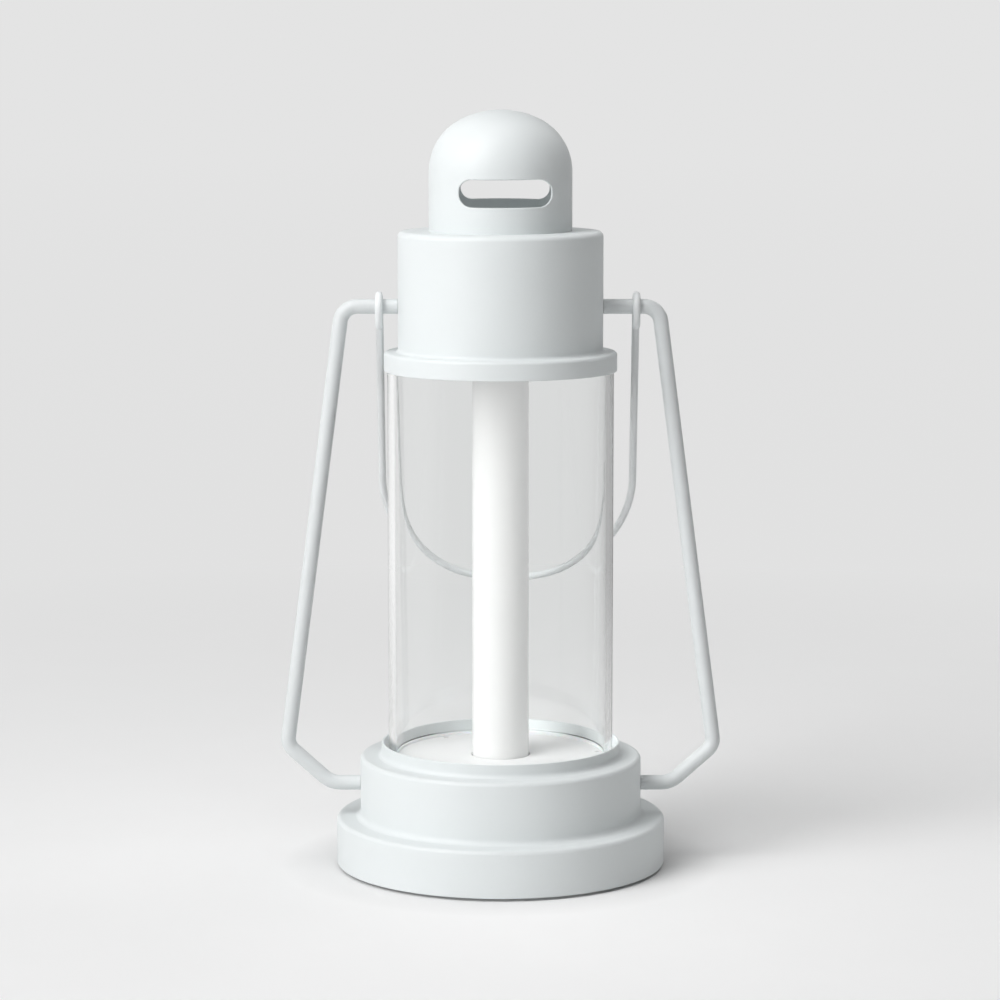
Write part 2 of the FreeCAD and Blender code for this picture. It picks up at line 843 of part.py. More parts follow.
def make_led_leads():
    """Two wires from the board's edge, along under the socket and up into the light core."""
    leads = []
    for side in (-1, 1):
        x = side * lead_spacing / 2
        start = Vector(x, board_centre_y + board_width / 2, lead_z)
        corner = Vector(x, 0, lead_z)
        end = Vector(x, 0, core_bottom + lead_rise_into_core)
        path = rounded_path([(start, 0), (corner, lead_bend), (end, 0)])
        leads.append(bent_rod(path, lead_radius, BACK))
    return leads


def make_switch_leads():
    """Two wires from the board's edge, over the bay and down to the switch's terminals."""
    leads = []
    for x in terminal_x():
        start = Vector(x, board_centre_y + board_width / 2, lead_z)
        corner = Vector(x, switch_y, lead_z)
        end = Vector(x, switch_y, cover_top + switch_height + terminal_length)
        path = rounded_path([(start, 0), (corner, lead_bend), (end, 0)])
        leads.append(bent_rod(path, lead_radius, BACK))
    return leads


def make_battery_leads():
    """Two wires from the end contacts' solder tabs to the board's ends, each with two turns."""
    leads = []
    for side, y in tab_places():
        start_x = side * (bay_length / 2 - contact_sheet)
        turn_x = start_x - side * battery_lead_reach
        board_y = board_centre_y + side * battery_lead_spread
        path = rounded_path([
            (Vector(start_x, y, lead_z), 0),
            (Vector(turn_x, y, lead_z), lead_bend),
            (Vector(turn_x, board_y, lead_z), lead_bend),
            (Vector(side * board_length / 2, board_y, lead_z), 0),
        ])
        leads.append(bent_rod(path, lead_radius, Vector(-side, 0, 0)))
    return leads


# ---- Glass, light tube and light engine ---------------------------------------------------------

def make_glass_chimney():
    """An open glass cylinder with its four rims bevelled."""
    inner_radius = glass_radius - glass_wall
    bevel = glass_edge_bevel
    return turned([
        (glass_radius - bevel, glass_bottom, 0),
        (glass_radius, glass_bottom + bevel, 0),
        (glass_radius, glass_top - bevel, 0),
        (glass_radius - bevel, glass_top, 0),
        (inner_radius + bevel, glass_top, 0),
        (inner_radius, glass_top - bevel, 0),
        (inner_radius, glass_bottom + bevel, 0),
        (inner_radius + bevel, glass_bottom, 0),
    ])


def make_sealing_ring(bottom):
    """A flat ring of clear silicone under or over the glass."""
    return ring(glass_radius + ring_overhang, glass_radius - glass_wall - ring_overhang, bottom,
                ring_thickness)


def make_diffuser_tube():
    return ring(tube_radius, tube_inner_radius, tube_bottom, tube_top - tube_bottom)


def make_core_plug(end, inward):
    """A round plug in one end of the tube, with a square recess that holds the core."""
    plug = cylinder(tube_inner_radius - tube_fit_gap, end, plug_length, inward)
    recess_side = core_side + 2 * plug_recess_gap
    inner_face = end + inward * plug_length
    recess_bottom = min(inner_face.z, (inner_face - inward * plug_recess_depth).z)
    plug = plug.cut(block(0, 0, recess_bottom, recess_side, recess_side, plug_recess_depth))
    return plug.cut(cylinder(plug_wire_hole_radius, end, plug_length, inward))


def make_led_core():
    """A square aluminium tube that carries the light strips and cools them."""
    length = core_top - core_bottom
    bore_side = core_side - 2 * core_wall
    return block(0, 0, core_bottom, core_side, core_side, length).cut(
        block(0, 0, core_bottom, bore_side, bore_side, length))


def strip_span():
    """Lowest point and length of the light strips, clear of both plugs."""
    bottom = tube_bottom + plug_length + strip_end_margin
    top = tube_top - plug_length - strip_end_margin
    return bottom, top - bottom


def make_led_strips():
    bottom, length = strip_span()
    strips = []
    for angle in spaced_angles(core_sides, 0):
        strip = block((core_side + strip_thickness) / 2, 0, bottom, strip_thickness, strip_width, length)
        strip.rotate(Vector(0, 0, 0), UP, angle)
        strips.append(strip)
    return strips


def make_led_chips():
    """Light chips at an even pitch on every strip."""
    bottom, length = strip_span()
    count = round(length / chip_pitch)
    first = bottom + (length - (count - 1) * chip_pitch) / 2
    centre_x = core_side / 2 + strip_thickness + chip_thickness / 2
    chips = []
    for angle in spaced_angles(core_sides, 0):
        for index in range(count):
            height = first + index * chip_pitch - chip_height / 2
            chip = block(centre_x, 0, height, chip_thickness, chip_width, chip_height)
            chip.rotate(Vector(0, 0, 0), UP, angle)
            chips.append(chip)
    return chips


# ---- Top housing, ceiling pan and dome ----------------------------------------------------------

def make_top_housing():
    """The drum, closed on top, and the flange whose skirt goes over the glass."""
    skirt_inner_radius = flange_radius - sheet
    housing = turned([
        (flange_radius, flange_bottom, sheet_edge_round),
        (flange_radius, flange_top, flange_edge_round),
        (drum_radius, flange_top, drum_foot_fillet),
        (drum_radius, drum_top, drum_edge_round),
        (0, drum_top, 0),
        (0, drum_top - sheet, 0),
        (drum_inner_radius, drum_top - sheet, drum_edge_round - sheet),
        (drum_inner_radius, flange_top - sheet, 0),
        (skirt_inner_radius, flange_top - sheet, 0),
        (skirt_inner_radius, flange_bottom, 0),
    ])
    for point in dome_screw_points(drum_top - sheet):
        housing = housing.cut(cylinder(small_screw_radius + screw_hole_gap, point, sheet))
    return housing.cut(stud_holes(rod_upper_z, flange_radius))


def socket_screw_points(height):
    return [polar(socket_screw_circle, angle, height)
            for angle in spaced_angles(socket_screw_count, socket_screw_angle)]


def make_ceiling_pan():
    """The ceiling over the glass: a dish pushed up inside the drum, with the tube's hole."""
    radius = drum_inner_radius - pan_clearance
    wall_top = pan_top + pan_wall_height
    pan = turned([
        (deck_hole_radius, pan_bottom, 0),
        (radius, pan_bottom, 0),
        (radius, wall_top, 0),
        (radius - sheet, wall_top, 0),
        (radius - sheet, pan_top, 0),
        (deck_hole_radius, pan_top, 0),
    ])
    for point in socket_screw_points(pan_bottom):
        pan = pan.cut(cylinder(small_screw_radius + screw_hole_gap, point, sheet))
    return pan


def make_tube_top_socket():
    """The cap that holds the tube's head, on a round flange screwed to the ceiling pan."""
    cap_height = tube_top + socket_end_gap + socket_floor - pan_top
    bore_height = tube_top + socket_end_gap - pan_top
    socket = cylinder(socket_flange_radius, Vector(0, 0, pan_top), socket_flange_thickness)
    socket = socket.fuse(cylinder(socket_outer_radius, Vector(0, 0, pan_top), cap_height))
    socket = socket.cut(cylinder(socket_bore_radius, Vector(0, 0, pan_top), bore_height))
    for point in socket_screw_points(pan_top):
        socket = socket.cut(cylinder(small_screw_radius + screw_hole_gap, point, socket_flange_thickness))
    return socket.removeSplitter()


def make_socket_screws():
    seat = pan_top + socket_flange_thickness
    return [pan_head_screw(point, -UP, socket_screw_length) for point in socket_screw_points(seat)]


def dome_arcs(inset):
    """The dome's shoulder arc and crown arc, from the straight wall to the axis."""
    shoulder_radius = dome_shoulder_radius - inset
    crown_radius = dome_crown_radius - inset
    centre_x = dome_radius - dome_shoulder_radius
    crown_z = dome_top - dome_crown_radius
    shoulder_rise = math.sqrt((dome_crown_radius - dome_shoulder_radius) ** 2 - centre_x ** 2)
    shoulder_z = crown_z + shoulder_rise
    meet = math.atan2(shoulder_rise, centre_x)

    def on_shoulder(angle):
        return in_section(centre_x + shoulder_radius * math.cos(angle),
                          shoulder_z + shoulder_radius * math.sin(angle))

    def on_crown(angle):
        return in_section(crown_radius * math.cos(angle), crown_z + crown_radius * math.sin(angle))

    summit = in_section(0, crown_z + crown_radius)
    shoulder = Part.Arc(on_shoulder(0), on_shoulder(meet / 2), on_shoulder(meet))
    crown = Part.Arc(on_shoulder(meet), on_crown((meet + math.pi / 2) / 2), summit)
    return shoulder.toShape(), crown.toShape(), on_shoulder(0), summit


def dome_slot():
    """The round-cornered slot, as a cutter through the front and the back wall that climbs to the back."""
    centre = Vector(slot_sideways, -dome_radius, drum_top + slot_centre_above_drum)
    corners = []
    for across, up in ((-1, -1), (1, -1), (1, 1), (-1, 1)):
        corner = centre + Vector(across * slot_width / 2, 0, up * slot_height / 2)
        corners.append((corner, slot_corner_radius))
    face = Part.Face(rounded_path(corners, closed=True))
    return face.extrude(Vector(0, 2 * dome_radius, slot_rise_to_back))


def slot_rims(dome):
    """The slot's edges on the dome's outer and inner face, front and back."""
    middle = drum_top + slot_centre_above_drum
    lowest = middle - slot_height / 2 - seat_gap
    highest = middle + slot_height / 2 + slot_rise_to_back + seat_gap
    rims = []
    for edge in dome.Edges:
        box = edge.BoundBox
        if box.ZMin < lowest or box.ZMax > highest:
            continue
        start, end = (edge.valueAt(at) for at in edge.ParameterRange)
        if abs(math.hypot(start.x, start.y) - math.hypot(end.x, end.y)) < dome_wall / 2:
            rims.append(edge)
    return rims


def dome_screw_points(height):
    return [polar(dome_screw_circle, angle, height)
            for angle in spaced_angles(dome_screw_count, dome_screw_angle)]


def make_dome_cap():
    """The hollow dome, with a foot flange turned in for its screws and a slot right through."""
    outer_shoulder, outer_crown, outer_spring, outer_summit = dome_arcs(0)
    inner_shoulder, inner_crown, inner_spring, inner_summit = dome_arcs(dome_wall)
    flange_top_z = drum_top + dome_flange_thickness
    outer_foot = in_section(dome_radius, drum_top)
    inner_foot = in_section(dome_radius - dome_wall, flange_top_z)
    lip_top = in_section(dome_flange_inner_radius, flange_top_z)
    lip_bottom = in_section(dome_flange_inner_radius, drum_top)
    edges = [
        Part.makeLine(outer_foot, outer_spring), outer_shoulder, outer_crown,
        Part.makeLine(outer_summit, inner_summit), inner_crown, inner_shoulder,
        Part.makeLine(inner_spring, inner_foot), Part.makeLine(inner_foot, lip_top),
        Part.makeLine(lip_top, lip_bottom), Part.makeLine(lip_bottom, outer_foot),
    ]
    dome = Part.Face(Part.Wire(edges)).revolve(Vector(0, 0, 0), UP, FULL_TURN)
    for point in dome_screw_points(drum_top):
        dome = dome.cut(cylinder(small_screw_radius + screw_hole_gap, point, dome_flange_thickness))
    dome = dome.cut(dome_slot())
    return dome.makeFillet(slot_edge_round, slot_rims(dome))


def make_dome_screws():
    return [pan_head_screw(point, UP, dome_screw_length) for point in dome_screw_points(drum_top - sheet)]


# ---- Side rods and bail -------------------------------------------------------------------------

def make_side_rod(side):
    """A bent rod from the drum out and down to the upper tier, with a threaded stud at each end."""
    start = Vector(side * (drum_radius + seat_gap), 0, rod_upper_z)
    end = Vector(side * (upper_tier_radius + seat_gap), 0, rod_lower_z)
    path = rounded_path([
        (start, 0),
        (Vector(side * rod_shoulder_reach, 0, rod_upper_z), rod_shoulder_bend),
        (Vector(side * rod_elbow_reach, 0, rod_lower_z + rod_elbow_rise), rod_elbow_bend),
        (Vector(side * rod_knee_reach, 0, rod_lower_z), rod_knee_bend),
        (end, 0),
    ])
    rod = bent_rod(path, rod_radius, Vector(side, 0, 0))
    for tip in (start, end):
        rod = rod.fuse(cylinder(stud_radius, tip, stud_length, Vector(-side, 0, 0)))
    return rod


def rod_seats():
    """Side, height and x of each nut's washer face, where it meets the curved inner wall."""
    seats = []
    for wall_radius, height in ((drum_inner_radius, rod_upper_z), (upper_tier_inner_radius, rod_lower_z)):
        reach = math.sqrt(wall_radius ** 2 - washer_radius ** 2) - seat_gap
        for side in (-1, 1):
            seats.append((side, height, reach))
    return seats


def make_rod_washers():
    washers = []
    for side, height, reach in rod_seats():
        inward = Vector(-side, 0, 0)
        start = Vector(side * reach, 0, height)
        washer = cylinder(washer_radius, start, washer_thickness, inward)
        washers.append(washer.cut(cylinder(stud_radius + stud_hole_gap, start, washer_thickness, inward)))
    return washers


def make_rod_nuts():
    nuts = []
    for side, height, reach in rod_seats():
        start = Vector(side * (reach - washer_thickness), 0, height)
        nuts.append(hex_nut(start, Vector(-side, 0, 0), stud_radius + seat_gap))
    return nuts


def eye_radius():
    """Radius of the wire's centreline round the rod."""
    return rod_radius + eye_clearance + wire_radius


def bail_eye(x):
    """Edges of one open eye, from the wire's tip over the rod to the top of its leg."""
    radius = eye_radius()
    low_z = -eye_slack

    def on_tip(turn):
        angle = math.radians(HALF_TURN + turn)
        return Vector(x, radius * math.cos(angle), low_z + radius * math.sin(angle))

    tip = Part.Arc(on_tip(eye_tip_turn), on_tip(eye_tip_turn / 2), on_tip(0)).toShape()
    front = Part.makeLine(on_tip(0), Vector(x, -radius, 0))
    over = Part.Arc(Vector(x, -radius, 0), Vector(x, 0, radius), Vector(x, radius, 0)).toShape()
    return [tip, front, over]


def make_bail_handle():
    """The wire bail: two eyes on the rods' stubs, straight legs and a round bottom."""
    radius = eye_radius()
    corner_x = bail_half_width - bail_corner_radius
    span = bail_bottom_radius - bail_corner_radius
    bottom_centre = Vector(0, radius, bail_bottom_radius - bail_drop)
    corner_z = bottom_centre.z - math.sqrt(span ** 2 - corner_x ** 2)
    meet = math.atan2(bottom_centre.z - corner_z, corner_x)

    def on_corner(side, angle):
        return Vector(side * (corner_x + bail_corner_radius * math.cos(angle)), radius,
                      corner_z - bail_corner_radius * math.sin(angle))

    bottom = bottom_centre - UP * bail_bottom_radius
    edges = bail_eye(-bail_half_width)
    edges.append(Part.makeLine(Vector(-bail_half_width, radius, 0), on_corner(-1, 0)))
    edges.append(Part.Arc(on_corner(-1, 0), on_corner(-1, meet / 2), on_corner(-1, meet)).toShape())
    edges.append(Part.Arc(on_corner(-1, meet), bottom, on_corner(1, meet)).toShape())
    edges.append(Part.Arc(on_corner(1, meet), on_corner(1, meet / 2), on_corner(1, 0)).toShape())
    edges.append(Part.makeLine(on_corner(1, 0), Vector(bail_half_width, radius, 0)))
    edges.extend(reversed(bail_eye(bail_half_width)))
    tip_angle = math.radians(HALF_TURN + eye_tip_turn)
    along_tip = Vector(0, math.sin(tip_angle), -math.cos(tip_angle))
    bail = bent_rod(Part.Wire(edges), wire_radius, along_tip)
    bail.rotate(Vector(0, 0, 0), RIGHT, bail_rest_angle())
    bail.translate(Vector(bail_sideways, 0, rod_upper_z))
    return bail


def bail_lean():
    """Angle from the pivot's plumb line to the bail's bottom where it lies on the glass."""
    reach = math.hypot(eye_radius(), bail_drop)
    return math.degrees(math.asin((glass_radius + wire_radius + bail_rest_gap) / reach))


def bail_rest_angle():
    """How far the bail is turned back from hanging straight down."""
    return bail_lean() - math.degrees(math.atan2(eye_radius(), bail_drop))


def report_joints():
    """Print the pivots and ranges that follow from the sizes."""
    swing = FULL_TURN - 2 * bail_lean()
    tip_to_leg = eye_radius() * (1 + math.cos(math.radians(eye_tip_turn)))
    width = 2 * (rod_elbow_reach + rod_radius)
    print(f"bail pivot z {rod_upper_z:.3f} rest angle {bail_rest_angle():.3f} swing {swing:.3f}")
    print(f"door hinge y {hinge_y:.3f} z {hinge_z:.3f}")
    print(f"gap between an eye's tip and its leg {tip_to_leg - 2 * wire_radius:.3f}")
    print(f"top of the lamp {dome_top:.3f} overall width {width:.3f}")


# ---- Nodes --------------------------------------------------------------------------------------

def export_all():
    """Build every node and write it."""
    os.makedirs("parts", exist_ok=True)
    nodes = {
        "base_shell": make_base_shell(),
        "deck_plate": make_deck_plate(),
        "tube_base_socket": make_tube_base_socket(),
        "deck_screws": make_deck_screws(),
        "cover_posts": make_cover_posts(),
        "cover_screws": make_cover_screws(),
        "foot_pads": make_foot_pads(),
        "bottom_cover": make_bottom_cover(),
        "battery_door": make_battery_door(),
        "aa_cells": make_aa_cells(),
        "button_contacts": make_button_contacts(),
        "spring_contacts": make_spring_contacts(),
        "contact_links": make_contact_links(),
        "battery_leads": make_battery_leads(),
        "switch_body": make_switch_body(),
        "switch_knob": make_switch_knob(),
        "switch_terminals": make_switch_terminals(),
        "switch_leads": make_switch_leads(),
        "driver_board": make_driver_board(),
        "board_parts": make_board_parts(),
        "board_screws": make_board_screws(),
        "led_leads": make_led_leads(),
        "glass_chimney": make_glass_chimney(),
        "bottom_sealing_ring": make_sealing_ring(deck_top),
        "top_sealing_ring": make_sealing_ring(glass_top),
        "diffuser_tube": make_diffuser_tube(),
        "lower_core_plug": make_core_plug(Vector(0, 0, tube_bottom), UP),
        "upper_core_plug": make_core_plug(Vector(0, 0, tube_top), -UP),
        "led_core": make_led_core(),
        "led_strips": make_led_strips(),
        "led_chips": make_led_chips(),
        "top_housing": make_top_housing(),
        "ceiling_pan": make_ceiling_pan(),
        "tube_top_socket": make_tube_top_socket(),
        "socket_screws": make_socket_screws(),
        "dome_cap": make_dome_cap(),
        "dome_screws": make_dome_screws(),
        "left_side_rod": make_side_rod(-1),
        "right_side_rod": make_side_rod(1),
        "rod_washers": make_rod_washers(),
        "rod_nuts": make_rod_nuts(),
        "bail_handle": make_bail_handle(),
    }
    for name, solids in nodes.items():
        export(name, solids)


export_all()
report_joints()
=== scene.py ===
"""A lantern table lamp: painted steel, a clear glass chimney, an opal light tube and a wire bail.

Metres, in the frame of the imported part: Z = 0 is the table, the front faces -Y and +X is right.
"""
import json
import math

import bmesh
import bpy
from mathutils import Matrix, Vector

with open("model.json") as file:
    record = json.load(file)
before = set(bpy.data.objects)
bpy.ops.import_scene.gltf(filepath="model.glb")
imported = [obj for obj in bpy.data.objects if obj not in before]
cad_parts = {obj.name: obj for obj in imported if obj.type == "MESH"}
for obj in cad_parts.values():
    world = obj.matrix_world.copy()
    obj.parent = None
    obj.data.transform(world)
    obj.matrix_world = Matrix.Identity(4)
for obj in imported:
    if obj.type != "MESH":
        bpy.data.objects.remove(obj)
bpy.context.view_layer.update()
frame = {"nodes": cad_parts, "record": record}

MM = 0.001
NODES = frame["nodes"]
SLOT_OF = {entry["node"]: entry["material_slot"] for entry in frame["record"]["subparts"]}


# ---- Camera -------------------------------------------------------------------------------------

EYE = Vector((-0.0002, -1.2, 0.29178))
AIM = Vector((-0.0002, 0.0, 0.13032))
LENS = 123.76
VIEW_END = 60.0


def make_camera():
    data = bpy.data.cameras.new("camera")
    data.lens = LENS
    data.clip_end = VIEW_END
    camera = bpy.data.objects.new("camera", data)
    camera.location = EYE
    camera.rotation_mode = "QUATERNION"
    camera.rotation_quaternion = (AIM - EYE).to_track_quat("-Z", "Y")
    bpy.context.collection.objects.link(camera)
    bpy.context.scene.camera = camera


# ---- Node helpers -------------------------------------------------------------------------------

class Tree:
    """A material's or a world's node tree, with short calls for the nodes used here."""

    def __init__(self, owner):
        owner.use_nodes = True
        self.tree = owner.node_tree
        self.tree.nodes.clear()

    def node(self, kind, inputs=None, **settings):
        made = self.tree.nodes.new(kind)
        for name, value in settings.items():
            setattr(made, name, value)
        for name, value in (inputs or {}).items():
            self.feed(made.inputs[name], value)
        return made

    def feed(self, socket, value):
        if isinstance(value, bpy.types.NodeSocket):
            self.tree.links.new(value, socket)
        elif hasattr(value, "__len__") and len(value) == 3 and socket.type == "RGBA":
            socket.default_value = (*value, 1.0)
        else:
            socket.default_value = value

    def math(self, operation, first, second):
        made = self.node("ShaderNodeMath", operation=operation)
        self.feed(made.inputs[0], first)
        self.feed(made.inputs[1], second)
        return made.outputs[0]

    def position(self):
        """Place on the piece in the part's frame; it goes with a piece that moves."""
        return self.node("ShaderNodeTexCoord").outputs["Object"]

    def scaled(self, vector, scale):
        return self.node("ShaderNodeMapping", {"Vector": vector, "Scale": scale}).outputs[0]

    def noise(self, vector, size, detail=3.0, roughness=0.5):
        """Noise whose features are about this size, in metres."""
        inputs = {"Vector": vector, "Scale": 1.0 / size, "Detail": detail, "Roughness": roughness}
        return self.node("ShaderNodeTexNoise", inputs).outputs["Fac"]

    def spread(self, value, low, high, start=0.35, end=0.65):
        """Map a value from start and end, by default the middle of noise, to low and high."""
        made = self.node("ShaderNodeMapRange", {
            "Value": value, "From Min": start, "From Max": end, "To Min": low, "To Max": high,
        }, clamp=True)
        return made.outputs[0]

    def blend(self, factor, first, second):
        made = self.node("ShaderNodeMix", data_type="RGBA")
        self.feed(made.inputs["Factor"], factor)
        self.feed(made.inputs[6], first)
        self.feed(made.inputs[7], second)
        return made.outputs[2]

    def bump(self, height, depth):
        inputs = {"Height": height, "Distance": depth, "Strength": 1.0}
        return self.node("ShaderNodeBump", inputs).outputs[0]

    def vector_math(self, operation, *vectors):
        made = self.node("ShaderNodeVectorMath", dict(enumerate(vectors)), operation=operation)
        return made.outputs["Value" if operation in ("LENGTH", "DOT_PRODUCT") else "Vector"]

    def facing(self, point):
        """One where the surface faces this point of the part, zero where it looks away."""
        towards = self.vector_math("SUBTRACT", point, self.position())
        normal = self.node("ShaderNodeTexCoord").outputs["Normal"]
        return self.math("GREATER_THAN", self.vector_math("DOT_PRODUCT", normal, towards), 0.0)

    def mix(self, factor, first, second):
        """The first shader where the factor is zero and the second where it is one."""
        made = self.node("ShaderNodeMixShader", {"Fac": factor})
        self.feed(made.inputs[1], first.outputs[0])
        self.feed(made.inputs[2], second.outputs[0])
        return made

    def principled(self, inputs):
        """Put one plain surface shader on the material's output."""
        self.output(self.node("ShaderNodeBsdfPrincipled", inputs))

    def seen(self):
        """One for rays from the camera, a glossy surface or glass, and zero for light."""
        rays = self.node("ShaderNodeLightPath").outputs
        mirrored = self.math("MAXIMUM", rays["Is Glossy Ray"], rays["Is Transmission Ray"])
        return self.math("MAXIMUM", rays["Is Camera Ray"], mirrored)

    def output(self, shader, kind="ShaderNodeOutputMaterial"):
        self.node(kind, {"Surface": shader.outputs[0]})


def new_material(name):
    material = bpy.data.materials.new(name)
    return material, Tree(material)


def shade(colour, factor):
    return tuple(channel * factor for channel in colour)


# ---- Materials ----------------------------------------------------------------------------------

WHITE_PAINT = (0.752, 0.786, 0.79)
# The rods' coat is the same white paint made darker: painted shade that tones the rods down.
ROD_PAINT_WITH_SHADE = (0.69, 0.715, 0.72)
WIRE_PAINT = (0.80, 0.82, 0.825)
DECK_PAINT = (0.73, 0.732, 0.732)
# The tube's colour is kept low because a painted glow lightens it.
OPAL = (0.55, 0.55, 0.547)
# Painted glow on the unlit tube: strength at the bottom and at the top, and the heights between
# which it rises.
OPAL_PAINTED_GLOW = (0.12, 0.28)
OPAL_PAINTED_GLOW_HEIGHTS = (30 * MM, 176 * MM)
PEEL_DEPTH = 0.012 * MM
DOME_MIDDLE = (0.0, 0.0, 0.242)
# Strength of the painted glow on the inside of the dome cap, in place of light bouncing about in
# it.
DOME_PAINTED_GLOW = 0.06
ZINC = (0.60, 0.61, 0.63)
BLACK_OXIDE = (0.05, 0.05, 0.055)
NICKEL = (0.66, 0.65, 0.62)
ALUMINIUM = (0.74, 0.75, 0.76)
JACKET_BODY = (0.05, 0.055, 0.065)
JACKET_SCUFF = (0.12, 0.125, 0.13)
JACKET_PALE = (0.52, 0.53, 0.55)
JACKET_BAND = (21.8 * MM, 22.0 * MM)
JACKET_RIM = (24.2 * MM, 24.3 * MM)
BOARD_CELLS = 160.0


def powder_coat(name, colour, peel_size=0.9 * MM, hollow=None):
    """Satin powder coat: orange peel, fine speckle and a slow drift in tone and gloss.

    Given a hollow, faces that look at its middle get a painted glow, a stand-in for the light that
    bounces about in there.
    """
    material, tree = new_material(name)
    place = tree.position()
    drift = tree.noise(place, 35 * MM, detail=2.0)
    speckle = tree.noise(place, 0.25 * MM, detail=1.0)
    peel = tree.noise(place, peel_size, detail=2.0, roughness=0.4)
    tone = tree.blend(tree.spread(drift, 0.0, 1.0), shade(colour, 0.985), colour)
    tone = tree.blend(tree.spread(speckle, 0.0, 1.0, 0.66, 0.78), tone, shade(colour, 0.93))
    inputs = {
        "Base Color": tone,
        "Roughness": tree.spread(drift, 0.42, 0.50),
        "Specular IOR Level": 0.42,
        "Normal": tree.bump(peel, PEEL_DEPTH),
    }
    if hollow is not None:
        inputs["Emission Color"] = colour
        # Painted glow: the inside of the hollow gives off light though it is no lamp.
        inputs["Emission Strength"] = tree.math("MULTIPLY", tree.facing(hollow), DOME_PAINTED_GLOW)
    tree.principled(inputs)
    return material


def clear_glass(name):
    """Drawn glass with faint lengthwise waviness. Light passes through it to what is inside."""
    material, tree = new_material(name)
    lengthwise = tree.scaled(tree.position(), (1.0, 1.0, 0.06))
    draw_lines = tree.noise(lengthwise, 9 * MM, detail=2.0)
    haze = tree.noise(tree.position(), 14 * MM, detail=3.0)
    glass = tree.node("ShaderNodeBsdfPrincipled", {
        "Base Color": (0.985, 0.992, 0.990),
        "Roughness": tree.spread(haze, 0.0, 0.02, 0.5, 0.8),
        "IOR": 1.47,
        "Transmission Weight": 1.0,
        "Normal": tree.bump(draw_lines, 0.01 * MM),
    })
    clear = tree.node("ShaderNodeBsdfTransparent", {"Color": (0.985, 0.988, 0.988)})
    rays = tree.node("ShaderNodeLightPath")
    tree.output(tree.mix(rays.outputs["Is Shadow Ray"], glass, clear))
    return material


def clear_silicone(name):
    material, tree = new_material(name)
    cloud = tree.noise(tree.position(), 3 * MM)
    inputs = {
        "Base Color": tree.blend(cloud, (0.74, 0.75, 0.75), (0.82, 0.83, 0.83)),
        "Roughness": tree.spread(cloud, 0.3, 0.45),
        "Subsurface Weight": 0.3,
        "Subsurface Scale": 0.8 * MM,
    }
    tree.principled(inputs)
    return material


def opal_tube(name):
    """Opal plastic with faint draw lines, evened out by the light that spreads in its wall and by
    a painted glow, stronger towards the top, though the tube is not lit.
    """
    material, tree = new_material(name)
    place = tree.position()
    lines = tree.noise(tree.scaled(place, (1.0, 1.0, 0.02)), 0.8 * MM, detail=2.0)
    cloud = tree.noise(place, 22 * MM, detail=2.0)
    height = tree.node("ShaderNodeSeparateXYZ", {"Vector": place}).outputs["Z"]
    inputs = {
        "Base Color": tree.blend(cloud, shade(OPAL, 0.985), OPAL),
        "Roughness": tree.spread(cloud, 0.20, 0.27),
        "Specular IOR Level": 0.5,
        "Subsurface Weight": 0.3,
        "Subsurface Radius": (1.0, 1.0, 1.0),
        "Subsurface Scale": 2.0 * MM,
        # Painted glow, stronger towards the top, where the flange shades the tube.
        "Emission Color": (1.0, 1.0, 0.995),
        "Emission Strength": tree.spread(height, *OPAL_PAINTED_GLOW, *OPAL_PAINTED_GLOW_HEIGHTS),
        "Normal": tree.bump(lines, 0.004 * MM),
    }
    tree.principled(inputs)
    return material


def moulded_plastic(name, colour, gloss=0.45, grain_size=0.35 * MM, grain_depth=0.01 * MM):
    """Injection-moulded plastic with a spark-eroded grain."""
    material, tree = new_material(name)
    place = tree.position()
    grain = tree.noise(place, grain_size, detail=2.0)
    flow = tree.noise(place, 18 * MM, detail=2.0)
    inputs = {
        "Base Color": tree.blend(tree.spread(flow, 0.0, 1.0), shade(colour, 0.96), colour),
        "Roughness": tree.spread(grain, gloss - 0.05, gloss + 0.07),
        "Normal": tree.bump(grain, grain_depth),
    }
    tree.principled(inputs)
    return material


def soft_rubber(name, colour):
    material, tree = new_material(name)
    place = tree.position()
    grain = tree.noise(place, 0.4 * MM)
    dust = tree.noise(place, 5 * MM)
    dusty = shade(colour, 1.25)
    inputs = {
        "Base Color": tree.blend(tree.spread(dust, 0.0, 1.0, 0.5, 0.75), colour, dusty),
        "Roughness": tree.spread(grain, 0.72, 0.88),
        "Normal": tree.bump(grain, 0.02 * MM),
    }
    tree.principled(inputs)
    return material


def plated_metal(name, colour, gloss, stretch=(1.0, 1.0, 0.1)):
    """Plated or drawn metal with fine lines along one direction and cloudy tarnish."""
    material, tree = new_material(name)
    place = tree.position()
    lines = tree.noise(tree.scaled(place, stretch), 0.12 * MM, detail=2.0)
    tarnish = tree.noise(place, 3.5 * MM, detail=3.0)
    inputs = {
        "Base Color": tree.blend(tree.spread(tarnish, 0.0, 1.0), shade(colour, 0.82), colour),
        "Metallic": 1.0,
        "Roughness": tree.spread(lines, gloss - 0.07, gloss + 0.1),
        "Normal": tree.bump(lines, 0.003 * MM),
    }
    tree.principled(inputs)
    return material


def laminate(name, colour, trace):
    """A circuit board's solder mask over a faint pattern of copper."""
    material, tree = new_material(name)
    place = tree.position()
    cells = tree.node("ShaderNodeTexBrick", {
        "Vector": place,
        "Scale": BOARD_CELLS,
        "Color1": colour,
        "Color2": shade(colour, 0.92),
        "Mortar": trace,
        "Mortar Size": 0.06,
    })
    weave = tree.noise(place, 0.3 * MM)
    inputs = {
        "Base Color": cells.outputs["Color"],
        "Roughness": tree.spread(weave, 0.28, 0.36),
        "Normal": tree.bump(cells.outputs["Fac"], 0.02 * MM),
    }
    tree.principled(inputs)
    return material


